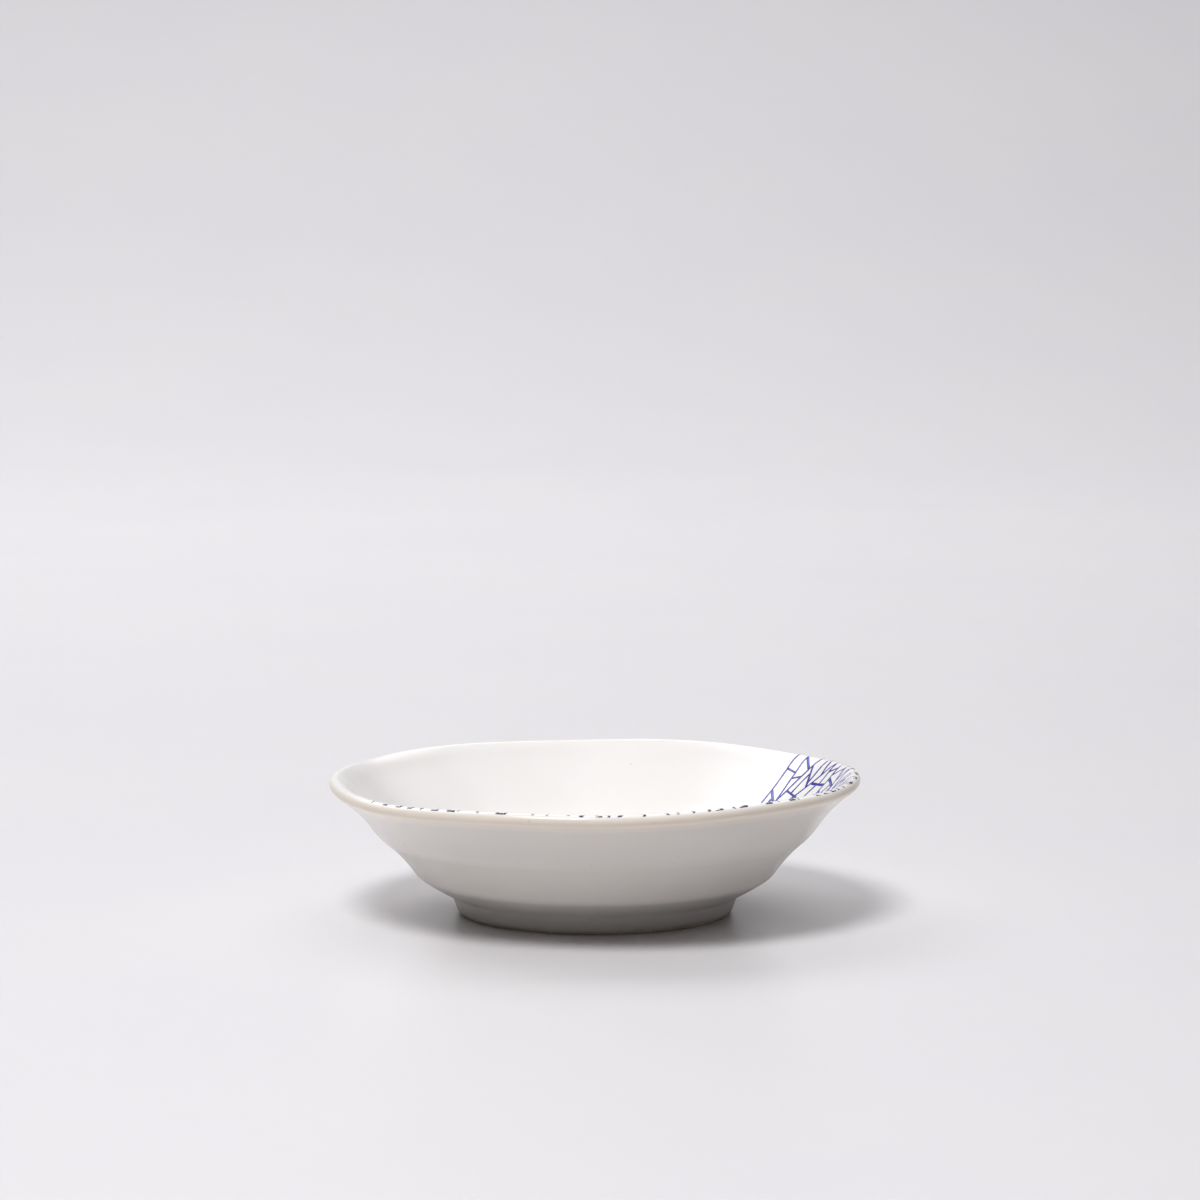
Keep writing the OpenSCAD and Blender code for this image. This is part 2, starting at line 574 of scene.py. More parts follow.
class NodeBench:
    """Places shader nodes in one tree and joins them."""

    def __init__(self, tree: bpy.types.NodeTree) -> None:
        """Keeps the tree to work in."""
        self.tree = tree

    def feed(self, socket: bpy.types.NodeSocket, value: object) -> None:
        """Links a socket to another one, or sets its value.

        Args:
            socket: The socket to feed.
            value: Another socket, or a plain value.
        """
        if isinstance(value, bpy.types.NodeSocket):
            self.tree.links.new(value, socket)
        else:
            socket.default_value = value

    def add(self, kind: str, inputs: dict[str | int, object], **settings: object) -> bpy.types.Node:
        """Adds a node.

        Args:
            kind: The node's type.
            inputs: Values or sockets for its inputs, by name or number.
            **settings: Values of its own properties.

        Returns:
            The new node.
        """
        node = self.tree.nodes.new(kind)
        for name, value in settings.items():
            setattr(node, name, value)
        for name, value in inputs.items():
            self.feed(node.inputs[name], value)
        return node

    def effect(self, kind: type["Effect"], inputs: dict[str | int, object]) -> bpy.types.NodeOutputs:
        """Places a shared effect, feeds its inputs and gives its outputs."""
        return self.add("ShaderNodeGroup", inputs, node_tree=kind.tree()).outputs

    def place(self) -> bpy.types.NodeSocket:
        """Gives the point's place on its piece."""
        return self.add("ShaderNodeTexCoord", {}).outputs["Object"]

    def mark(self, name: str) -> bpy.types.NodeSocket:
        """Gives a value that the mesh keeps at its points."""
        return self.add("ShaderNodeAttribute", {}, attribute_name=name).outputs["Fac"]

    def cloud(self, scale: object, detail: float, roughness: float) -> bpy.types.NodeSocket:
        """Gives a soft cloudy value from 0 to 1: patches in a metre, levels of finer ones and their share."""
        inputs = {"Vector": self.place(), "Scale": scale, "Detail": detail, "Roughness": roughness}
        return self.add("ShaderNodeTexNoise", inputs).outputs["Fac"]

    def cells(self, scale: object) -> bpy.types.NodeOutputs:
        """Gives the distance to scattered points and a colour for each, at so many points in a metre."""
        return self.add("ShaderNodeTexVoronoi", {"Vector": self.place(), "Scale": scale}).outputs

    def spread(self, value: object, span: Span, low: object, high: object) -> bpy.types.NodeSocket:
        """Carries a value from its span to one from low to high, held at the ends."""
        inputs = {"Value": value, "From Min": span[0], "From Max": span[1], "To Min": low, "To Max": high}
        return self.add("ShaderNodeMapRange", inputs).outputs["Result"]

    def sum(self, kind: str, first: object, second: object) -> bpy.types.NodeSocket:
        """Works out a sum of two values, such as ADD or MULTIPLY."""
        return self.add("ShaderNodeMath", {0: first, 1: second}, operation=kind).outputs["Value"]

    def blend(self, share: object, first: object, second: object) -> bpy.types.NodeSocket:
        """Blends two colours.

        Args:
            share: Share of the second colour.
            first: The first colour.
            second: The second colour.

        Returns:
            The blended colour's socket.
        """
        node = self.add("ShaderNodeMix", {}, data_type="RGBA")
        sockets = {s.identifier: s for s in (*node.inputs, *node.outputs)}
        self.feed(sockets["Factor_Float"], share)
        self.feed(sockets["A_Color"], first)
        self.feed(sockets["B_Color"], second)
        return sockets["Result_Color"]


class Effect:
    """A shader effect that more than one finish uses, built once as a node group."""

    name: str
    inputs: dict[str, str]
    outputs: dict[str, str]

    @classmethod
    def tree(cls) -> bpy.types.NodeTree:
        """Gives the effect's node group, and builds it the first time.

        Returns:
            The node group.
        """
        known = bpy.data.node_groups.get(cls.name)
        if known:
            return known
        tree = bpy.data.node_groups.new(cls.name, "ShaderNodeTree")
        for name, kind in cls.inputs.items():
            tree.interface.new_socket(name, in_out="INPUT", socket_type=kind)
        for name, kind in cls.outputs.items():
            tree.interface.new_socket(name, in_out="OUTPUT", socket_type=kind)
        given = tree.nodes.new("NodeGroupInput").outputs
        result = tree.nodes.new("NodeGroupOutput").inputs
        bench = NodeBench(tree)
        for name, socket in cls.wire(bench, given).items():
            bench.feed(result[name], socket)
        return tree

    @classmethod
    def wire(cls, bench: NodeBench, given: bpy.types.NodeOutputs) -> Sockets:
        """Places the effect's nodes.

        Args:
            bench: Where the nodes go.
            given: The group's input values.

        Returns:
            A socket for each output, by name.
        """
        raise NotImplementedError


class GlazeSkin(Effect):
    """The melted skin of a glaze: slightly uneven gloss, a slow ripple and a few pinholes."""

    name = "glaze_skin"
    inputs = {
        "Glossy": "NodeSocketFloat",
        "Dull": "NodeSocketFloat",
        "Ripple Scale": "NodeSocketFloat",
        "Pinhole Scale": "NodeSocketFloat",
    }
    outputs = {"Roughness": "NodeSocketFloat", "Height": "NodeSocketFloat"}
    ripple_detail = 2.0
    ripple_fineness = 0.45
    pinhole_span = (0.03, 0.07)
    pinhole_depth = 0.6

    @classmethod
    def wire(cls, bench: NodeBench, given: bpy.types.NodeOutputs) -> Sockets:
        """Places the skin's nodes.

        Args:
            bench: Where the nodes go.
            given: The least and greatest roughness, and the patches and pinholes in a metre.

        Returns:
            Sockets of the roughness and of the relief's height.
        """
        ripple = bench.cloud(given["Ripple Scale"], cls.ripple_detail, cls.ripple_fineness)
        roughness = bench.spread(ripple, CLOUD_SPAN, given["Glossy"], given["Dull"])
        pinhole = bench.cells(given["Pinhole Scale"])["Distance"]
        pit = bench.spread(pinhole, cls.pinhole_span, -cls.pinhole_depth, 0.0)
        return {"Roughness": roughness, "Height": bench.sum("ADD", ripple, pit)}


class IronSpecks(Effect):
    """Tiny scattered specks of iron that the firing brings out."""

    name = "iron_specks"
    inputs = {
        "Color": "NodeSocketColor",
        "Speck Color": "NodeSocketColor",
        "Scale": "NodeSocketFloat",
        "Strength": "NodeSocketFloat",
    }
    outputs = {"Color": "NodeSocketColor"}
    speck_span = (0.03, 0.09)
    chosen_span = (0.55, 0.95)

    @classmethod
    def wire(cls, bench: NodeBench, given: bpy.types.NodeOutputs) -> Sockets:
        """Places the specks' nodes.

        Args:
            bench: Where the nodes go.
            given: The ground's and the specks' colours, the specks in a metre and their strength.

        Returns:
            The specked colour's socket.
        """
        spot = bench.cells(given["Scale"])
        round_spot = bench.spread(spot["Distance"], cls.speck_span, given["Strength"], 0.0)
        pick = bench.add("ShaderNodeSeparateColor", {0: spot["Color"]}).outputs[0]
        chosen = bench.spread(pick, cls.chosen_span, 0.0, 1.0)
        share = bench.sum("MULTIPLY", round_spot, chosen)
        return {"Color": bench.blend(share, given["Color"], given["Speck Color"])}


class KilnTone(Effect):
    """The slow change of tone that a coat takes in the kiln."""

    name = "kiln_tone"
    inputs = {"Pale": "NodeSocketColor", "Deep": "NodeSocketColor", "Scale": "NodeSocketFloat"}
    outputs = {"Color": "NodeSocketColor"}
    drift_detail = 3.0
    drift_fineness = 0.5

    @classmethod
    def wire(cls, bench: NodeBench, given: bpy.types.NodeOutputs) -> Sockets:
        """Places the tone's nodes.

        Args:
            bench: Where the nodes go.
            given: The pale and the deep tone, and the patches in a metre.

        Returns:
            The tone's socket.
        """
        drift = bench.cloud(given["Scale"], cls.drift_detail, cls.drift_fineness)
        share = bench.spread(drift, CLOUD_SPAN, 0.0, 1.0)
        return {"Color": bench.blend(share, given["Pale"], given["Deep"])}


class ClayGrain(Effect):
    """The sandy grain of fired clay."""

    name = "clay_grain"
    inputs = {"Scale": "NodeSocketFloat"}
    outputs = {"Roughness": "NodeSocketFloat", "Height": "NodeSocketFloat"}
    grain_detail = 4.0
    grain_fineness = 0.65
    matt = (0.72, 0.92)

    @classmethod
    def wire(cls, bench: NodeBench, given: bpy.types.NodeOutputs) -> Sockets:
        """Places the grain's nodes and gives the sockets of the roughness and of the relief's height."""
        grain = bench.cloud(given["Scale"], cls.grain_detail, cls.grain_fineness)
        return {"Roughness": bench.spread(grain, CLOUD_SPAN, *cls.matt), "Height": grain}


# Finishes


@dataclass(frozen=True)
class Finish:
    """A material with a Principled shader, whose look its own dress method sets."""

    name: str

    def material(self) -> bpy.types.Material:
        """Makes the material.

        Returns:
            The new material.
        """
        material = bpy.data.materials.new(self.name)
        material.use_nodes = True
        bench = NodeBench(material.node_tree)
        self.dress(bench, material.node_tree.nodes["Principled BSDF"])
        return material

    def dress(self, bench: NodeBench, shader: bpy.types.Node) -> None:
        """Feeds the shader's sockets.

        Args:
            bench: Where the material's nodes go.
            shader: The material's Principled shader.
        """
        raise NotImplementedError

    def raise_skin(self, bench: NodeBench, shader: bpy.types.Node, height: object, depth: float) -> None:
        """Gives the shader a fine relief, from a height of 0 to 1 and the relief's depth in metres."""
        relief = bench.add("ShaderNodeBump", {"Strength": 1.0, "Distance": depth, "Height": height})
        bench.feed(shader.inputs["Normal"], relief.outputs["Normal"])


@dataclass(frozen=True)
class GlazedFinish(Finish):
    """A finish with the skin of a glaze."""

    glossy: float = 0.19
    dull: float = 0.26
    ripple_scale: float = 260.0
    pinhole_scale: float = 180.0
    relief: float = 0.006 * MM

    def glaze(self, bench: NodeBench, shader: bpy.types.Node) -> None:
        """Gives the shader the gloss and the relief of a glaze.

        Args:
            bench: Where the material's nodes go.
            shader: The material's Principled shader.
        """
        inputs = {
            "Glossy": self.glossy,
            "Dull": self.dull,
            "Ripple Scale": self.ripple_scale,
            "Pinhole Scale": self.pinhole_scale,
        }
        skin = bench.effect(GlazeSkin, inputs)
        bench.feed(shader.inputs["Roughness"], skin["Roughness"])
        self.raise_skin(bench, shader, skin["Height"], self.relief)


@dataclass(frozen=True)
class GlazeFinish(GlazedFinish):
    """White glaze, warm on the lip's outer face as a painted glow of light through the thin lip, and greyed
    by painted shade where the mesh marks it.
    """

    white: str = "#fbf8f6"
    white_deep: str = "#f8f5f2"
    # Warm tone: a painted glow of light through the thin lip on the lip's outer face, and a little on the
    # outer wall.
    warm: str = "#f0e5d6"
    # Painted shade: the glaze greys towards this on the outer wall, under the dish and in the dish's floor.
    painted_shade_grey: str = "#cfccc5"
    speck: str = "#b9a991"
    tone_scale: float = 55.0
    speck_scale: float = 260.0
    speck_strength: float = 0.35

    def dress(self, bench: NodeBench, shader: bpy.types.Node) -> None:
        """Feeds the shader's sockets.

        Args:
            bench: Where the material's nodes go.
            shader: The material's Principled shader.
        """
        tones = {"Pale": colour(self.white), "Deep": colour(self.white_deep), "Scale": self.tone_scale}
        tone = bench.effect(KilnTone, tones)["Color"]
        # Painted glow of light through the thin lip, from the warmth mark.
        thin = bench.blend(bench.mark("warmth"), tone, colour(self.warm))
        # Painted shade from the under mark.
        painted_shade_tone = bench.blend(bench.mark("under"), thin, colour(self.painted_shade_grey))
        specks = {
            "Color": painted_shade_tone,
            "Speck Color": colour(self.speck),
            "Scale": self.speck_scale,
            "Strength": self.speck_strength,
        }
        bench.feed(shader.inputs["Base Color"], bench.effect(IronSpecks, specks)["Color"])
        self.glaze(bench, shader)


@dataclass(frozen=True)
class CobaltFinish(GlazedFinish):
    """Cobalt brushwork under the shine of the glaze, darker where the brush left more colour."""

    glossy: float = 0.16
    ripple_scale: float = 900.0
    pinhole_scale: float = 400.0
    relief: float = 0.004 * MM
    wash: str = "#4a5cd0"
    line: str = "#121f9e"
    pool: str = "#16184e"
    streak: float = 0.18
    streak_scale: float = 1400.0
    streak_detail: float = 2.0
    streak_fineness: float = 0.5
    line_span: Span = (0.0, 0.6)
    pool_span: Span = (0.75, 1.15)

    def dress(self, bench: NodeBench, shader: bpy.types.Node) -> None:
        """Feeds the shader's sockets.

        Args:
            bench: Where the material's nodes go.
            shader: The material's Principled shader.
        """
        hairs = bench.cloud(self.streak_scale, self.streak_detail, self.streak_fineness)
        streaks = bench.spread(hairs, CLOUD_SPAN, -self.streak, self.streak)
        ink = bench.sum("ADD", bench.mark("ink"), streaks)
        drawn_share = bench.spread(ink, self.line_span, 0.0, 1.0)
        drawn = bench.blend(drawn_share, colour(self.wash), colour(self.line))
        pooled_share = bench.spread(ink, self.pool_span, 0.0, 1.0)
        pooled = bench.blend(pooled_share, drawn, colour(self.pool))
        bench.feed(shader.inputs["Base Color"], pooled)
        self.glaze(bench, shader)


@dataclass(frozen=True)
class ClayFinish(Finish):
    """Bare fired clay, matt and sandy."""

    pale: str = "#d6c9b5"
    deep: str = "#c3b49e"
    speck: str = "#8d7a62"
    tone_scale: float = 320.0
    speck_scale: float = 900.0
    speck_strength: float = 0.5
    grain_scale: float = 2600.0
    relief: float = 0.05 * MM

    def dress(self, bench: NodeBench, shader: bpy.types.Node) -> None:
        """Feeds the shader's sockets.

        Args:
            bench: Where the material's nodes go.
            shader: The material's Principled shader.
        """
        tones = {"Pale": colour(self.pale), "Deep": colour(self.deep), "Scale": self.tone_scale}
        specks = {
            "Color": bench.effect(KilnTone, tones)["Color"],
            "Speck Color": colour(self.speck),
            "Scale": self.speck_scale,
            "Strength": self.speck_strength,
        }
        bench.feed(shader.inputs["Base Color"], bench.effect(IronSpecks, specks)["Color"])
        grain = bench.effect(ClayGrain, {"Scale": self.grain_scale})
        bench.feed(shader.inputs["Roughness"], grain["Roughness"])
        self.raise_skin(bench, shader, grain["Height"], self.relief)


@dataclass(frozen=True)
class PaperFinish(Finish):
    """The pale paper of the studio's sweep, with a slight sheen."""

    pale: str = "#eeecef"
    deep: str = "#eceaee"
    tone_scale: float = 9.0
    roughness: float = 0.27

    def dress(self, bench: NodeBench, shader: bpy.types.Node) -> None:
        """Feeds the shader's sockets.

        Args:
            bench: Where the material's nodes go.
            shader: The material's Principled shader.
        """
        tones = {"Pale": colour(self.pale), "Deep": colour(self.deep), "Scale": self.tone_scale}
        bench.feed(shader.inputs["Base Color"], bench.effect(KilnTone, tones)["Color"])
        bench.feed(shader.inputs["Roughness"], self.roughness)


# The dish's pieces


def set_in_frame(piece: bpy.types.Object, slot: Slot, finish: Finish, *nodes: str) -> None:
    """Puts a finished piece into the frame.

    Args:
        piece: The piece.
        slot: The record's slot that its finish belongs to. It is not used.
        finish: Its finish.
        *nodes: The solids that it stands for.
    """
    piece.data.materials.append(finish.material())
    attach(piece, BODY)
    if nodes:
        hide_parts(*nodes)
    size = " x ".join(f"{side / MM:.2f}" for side in piece.dimensions)
    LOG.info("%s: %s mm, %d faces", piece.name, size, len(piece.data.polygons))


@dataclass
class GlazeCoats:
    """The glaze over the whole bowl and foot, and the glaze in the recess under it."""

    outline: DishOutline
    drift: float = 0.22 * MM
    drift_top: float = 2.4 * MM
    drift_waves: float = 2.6
    uneven: float = 0.015 * MM
    uneven_size: float = 9 * MM
    # Painted glow: the warm band on the lip's outer face stands for light shining through the thin lip.
    warm_rise: Span = (0.4 * MM, 1.8 * MM)
    warm_fall: Span = (2.6 * MM, 6 * MM)
    wall_warmth: float = 0.35
    # Painted shade: the glaze's greying on the outer wall and in the dish's floor, and the heights below
    # which the floor and the underside grey.
    wall_painted_shade: float = 0.62
    floor_painted_shade: float = 0.45
    floor_shade_z: Span = (7 * MM, 12 * MM)
    painted_shade_z: Span = (6.2 * MM, 7.8 * MM)

    def placed(self, side: FootSide) -> Callable[[Vector, float], Vector]:
        """Gives the rule that sets a coat in the round, with a lower edge that wanders.

        Args:
            side: The face of the foot that the coat ends on.

        Returns:
            A function that takes a point of the outline and an angle in radians, and gives the place.
        """
        bare_h = self.outline.sizes.bare_h

        def place(point: Vector, azimuth: float) -> Vector:
            """Sets one point of the coat.

            Args:
                point: The point of the outline.
                azimuth: Angle about the axis, in radians.

            Returns:
                The point's place.
            """
            spot = Vector((math.cos(azimuth), math.sin(azimuth), side.sign)) * self.drift_waves
            loose = 1 - smoothstep(bare_h, self.drift_top, point.y)
            shift = side.down() * self.drift * loose * noise.noise(spot)
            return self.outline.place(point + shift, azimuth)

        return place

    def past_crown(self, surface: Outline) -> list[float]:
        """Measures along the surface from the crown of the lip.

        Args:
            surface: The surface, from the floor's middle over the lip to the foot.

        Returns:
            The distance of each point, below zero on the inside.
        """
        far = distances(surface)
        crown = max(range(len(surface)), key=lambda i: surface[i].y)
        return [reach - far[crown] for reach in far]

    def warmth(self, surface: Outline) -> list[float]:
        """Gives how warm the glaze looks: on the lip's outer face a painted glow of light through the thin
        lip, less on the wall.

        Args:
            surface: The surface, from the floor's middle over the lip to the foot.

        Returns:
            A value from 0 to 1 for each point.
        """
        warm = []
        for past in self.past_crown(surface):
            fall = (1 - self.wall_warmth) * smoothstep(*self.warm_fall, past)
            warm.append(smoothstep(*self.warm_rise, past) * (1 - fall))
        return warm

    def under(self, surface: Outline) -> list[float]:
        """Gives the painted shade that greys the glaze: a little in the dish's floor and on the wall, fully
        under the dish.

        Args:
            surface: The surface, from the floor's middle over the lip to the foot.

        Returns:
            A value from 0 to 1 for each point.
        """
        painted_shade_grey = []
        for point, past in zip(surface, self.past_crown(surface)):
            # Outside: painted shade on the wall and under the dish. Inside: painted shade in the dish's
            # floor.
            if past > 0:
                below = 1 - smoothstep(*self.painted_shade_z, point.y)
                painted_shade_grey.append(max(below, self.wall_painted_shade * smoothstep(*self.warm_fall, past)))
            else:
                painted_shade_grey.append(self.floor_painted_shade * (1 - smoothstep(*self.floor_shade_z, point.y)))
        return painted_shade_grey

    def build(self) -> None:
        """Makes both coats and sets them in the frame."""
        clay = self.outline.bowl_clay()
        surface = self.outline.glaze_over(clay, edge_first=True)[::-1]
        hidden = [0.0] * (len(clay) - 1)
        # Painted glow in the warmth mark, painted shade in the under mark.
        marks = {"warmth": [*self.warmth(surface), *hidden], "under": [*self.under(surface), *hidden]}
        turning = Turning("glaze_coat", self.placed(self.outline.outside))
        coat = turning.build([*surface, *clay[1:]], marks, capped=True)
        wear_in(coat, self.uneven, self.uneven_size)
        finish = GlazeFinish("white_glaze")
        set_in_frame(coat, Slot.GLAZE, finish, "inside_glaze", "outside_glaze", "foot_glaze")

        ceiling = self.outline.recess_clay()
        under = self.outline.glaze_over(ceiling, edge_first=False)
        rings = [*under, *ceiling[-2::-1]]
        # The recess glaze takes the wall's warmth and full painted shade.
        marks = {"warmth": [self.wall_warmth] * len(rings), "under": [1.0] * len(rings)}
        turning = Turning("recess_glaze", self.placed(self.outline.recess))
        recess = turning.build(rings, marks, capped=True)
        wear_in(recess, self.uneven, self.uneven_size)
        set_in_frame(recess, Slot.GLAZE, GlazeFinish("recess_glaze"), "base_glaze")


@dataclass
class BareFoot:
    """The foot ring, whose standing face is left bare, and the clay that the glaze hides."""

    outline: DishOutline
    edge_steps: int = 10
    face_steps: int = 10
    top_steps: int = 4
    turn_n: int = 360
    grain_depth: float = 0.03 * MM
    grain_size: float = 0.7 * MM

    def ring_outline(self) -> Outline:
        """Follows the ring all round.

        Returns:
            The points up its outer face, over its top, down its inner face and along its underside.
        """
        sizes = self.outline.sizes
        outer = self.outline.outside.edge(sizes.foot_round, self.edge_steps)
        inner = self.outline.recess.edge(sizes.foot_round, self.edge_steps)
        outer_top = self.outline.outside.at(sizes.foot_h)
        inner_top = self.outline.recess.at(sizes.foot_h)
        return [
            *outer,
            *bowed(outer[-1], outer_top, 0, self.face_steps),
            *bowed(outer_top, inner_top, 0, self.top_steps),
            *bowed(inner_top, inner[-1], 0, self.face_steps),
            *inner[-2::-1],
            *bowed(inner[0], outer[0], 0, self.top_steps)[:-1],
        ]

    def build(self) -> None:
        """Makes the ring and gives the hidden clay its finish."""
        turning = Turning("bare_foot", self.outline.place, self.turn_n)
        ring = turning.build(self.ring_outline(), {}, capped=False)
        wear_in(ring, self.grain_depth, self.grain_size)
        set_in_frame(ring, Slot.CLAY, ClayFinish("bare_clay"), "foot_ring")
        inner_clay = {
            "bowl_body": ClayFinish("bowl_clay", grain_scale=1800.0),
            "slip_joint": ClayFinish("slip_clay", pale="#d9cebc", deep="#c8baa5", grain_scale=3400.0),
        }
        for node, finish in inner_clay.items():
            material = finish.material()
            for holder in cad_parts[node].material_slots:
                holder.material = material
            LOG.info("%s: kept from the frame, in %s", node, finish.name)


# The painted net


@dataclass(frozen=True)
class Brush:
    """How a kind of stroke is painted: its width, and its colour from 0, a thin wash, to 1, a dark pool."""

    width: float
    ink: float


@dataclass(frozen=True)
class Stroke:
    """One brush stroke, from point to point on the flattened inside of the dish."""

    start: Vector
    end: Vector
    kind: StrokeKind


@dataclass
class CrackedIce:
    """The traditional cracked-ice net: a half disc split by straight cracks until its cells are small."""

    reach: float
    border: float = 35.0
    seed: int = 41
    arc_steps: int = 72
    lip_cell: float = 18 * MM * MM
    floor_cell: float = 24 * MM * MM
    lip_span: Span = (0.55, 0.95)
    cell_spread: Span = (0.8, 1.5)
    bar_length: float = 4.6 * MM
    bar_slope: float = 0.8
    rim_dash: Span = (0.8 * MM, 2.2 * MM)
    rim_share: float = 0.6
    rim_start: float = 0.985
    tilt: float = 32.0
    length_share: float = 1.4
    off_middle: float = 0.14
    least_share: float = 0.3
    tries: int = 12

    def __post_init__(self) -> None:
        """Starts the dice and an empty list of strokes."""
        self.dice = random.Random(self.seed)
        self.strokes: list[Stroke] = []

    def draw(self) -> list[Stroke]:
        """Lays out the whole net.

        Returns:
            Its strokes: the border across the dish, the cracks and bars, and a few strokes along the lip.
        """
        half = arc(self.reach, self.border - 180, self.border, self.arc_steps)
        middle = Vector((0, 0))
        self.strokes = [Stroke(middle, end, StrokeKind.BORDER) for end in (half[0], half[-1])]
        self.split(half)
        self.follow_lip()
        return self.strokes

    def split(self, cell: Outline) -> None:
        """Splits a cell with one crack, and both halves again, until they are small enough.

        Args:
            cell: The cell's corners, in order.
        """
        area, middle = area_and_middle(cell)
        near_lip = smoothstep(*self.lip_span, middle.length / self.reach)
        usual = self.floor_cell + (self.lip_cell - self.floor_cell) * near_lip
        if area < usual * self.dice.uniform(*self.cell_spread):
            return
        outward = middle.normalized()
        short = [stretched(p, outward, 1 / self.length_share) for p in cell]
        pairs = [(a, b) for a in short for b in short]
        far_a, far_b = max(pairs, key=lambda pair: (pair[0] - pair[1]).length_squared)
        long_way = far_b - far_a
        for _ in range(self.tries):
            shift = long_way * self.dice.uniform(-self.off_middle, self.off_middle)
            turn = math.radians(90 + self.dice.uniform(-self.tilt, self.tilt))
            ways = polar(long_way.length, math.degrees(math.atan2(long_way.y, long_way.x) + turn))
            through = middle + stretched(shift, outward, self.length_share)
            first, second, ends = cut(cell, through, stretched(ways, outward, self.length_share))
            if min(area_and_middle(part)[0] for part in (first, second)) > self.least_share * area:
                break
        step = ends[1] - ends[0]
        is_bar = step.length < self.bar_length and abs(step.normalized().dot(outward)) < self.bar_slope
        self.strokes.append(Stroke(*ends, StrokeKind.BAR if is_bar else StrokeKind.CRACK))
        self.split(first)
        self.split(second)

    def follow_lip(self) -> None:
        """Adds short dashes along the lip where some of the strokes reach it."""
        ends = [p for s in self.strokes for p in (s.start, s.end) if p.length > self.reach * self.rim_start]
        for end in ends:
            if self.dice.random() < self.rim_share:
                dash = right_of(end) * self.dice.uniform(*self.rim_dash) * self.dice.choice((-1, 1))
                self.strokes.append(Stroke(end, (end + dash).normalized() * end.length, StrokeKind.RIM))


def stretched(way: Vector, along: Vector, share: float) -> Vector:
    """Makes a vector longer or shorter along a unit vector, to a share of its length there."""
    return way + along * way.dot(along) * (share - 1)


def area_and_middle(cell: Outline) -> tuple[float, Vector]:
    """Measures a flat cell.

    Args:
        cell: The cell's corners, in order.

    Returns:
        Its area and its centre of area.
    """
    area, middle = 0.0, Vector((0, 0))
    for a, b in zip(cell, [*cell[1:], cell[0]]):
        piece = (a.x * b.y - a.y * b.x) / 2
        area += piece
        middle += (a + b) * piece / 3
    return abs(area), middle / area


def cut(cell: Outline, through: Vector, ways: Vector) -> tuple[Outline, Outline, Outline]:
    """Cuts a flat convex cell along a line.

    Args:
        cell: The cell's corners, in order.
        through: A point on the line.
        ways: The line's direction.

    Returns:
        The two parts, and the two points where the line meets the cell's edge.
    """
    first, second, ends = [], [], []
    sides = [(p - through).dot(right_of(ways)) for p in cell]
    for i, (here, side) in enumerate(zip(cell, sides)):
        k = (i + 1) % len(cell)
        (first if side >= 0 else second).append(here)
        if (side >= 0) != (sides[k] >= 0):
            meet = here.lerp(cell[k], side / (side - sides[k]))
            ends.append(meet)
            first.append(meet)
            second.append(meet)
    return first, second, ends


@dataclass(frozen=True)
class MapPatch:
    """One stroke's own patch of the texture map, in a square grid of patches."""

    column: int
    row: int
    columns: int
    rings: int
    around: int
    margin: float = 0.12
    end_height: float = 0.2

    def spot(self, across: float, up: float) -> tuple[float, float]:
        """Gives a place on the map from shares of the patch."""
        return (self.column + across) / self.columns, (self.row + up) / self.columns

    def at(self, ring: int, side: int) -> tuple[float, float]:
        """Gives the place of one point of the stroke.

        Args:
            ring: Number of the point's ring.
            side: Number of the point in its ring.

        Returns:
            The place on the map.
        """
        room = 1 - 2 * self.margin
        across = self.margin + room * ring / (self.rings - 1)
        return self.spot(across, self.margin + room * side / self.around)

    def end(self, ring: int) -> Spots:
        """Gives the places of the points of one end, as a small ring in the patch's margin.

        Args:
            ring: Number of the first or the last ring.

        Returns:
            The places on the map.
        """
        middle = self.margin / 2 if ring == 0 else 1 - self.margin / 2
        turn = [math.tau * i / self.around for i in range(self.around)]
        half_w, half_h = self.margin / 4, self.end_height
        return tuple(self.spot(middle + math.cos(t) * half_w, 0.5 + math.sin(t) * half_h) for t in turn)


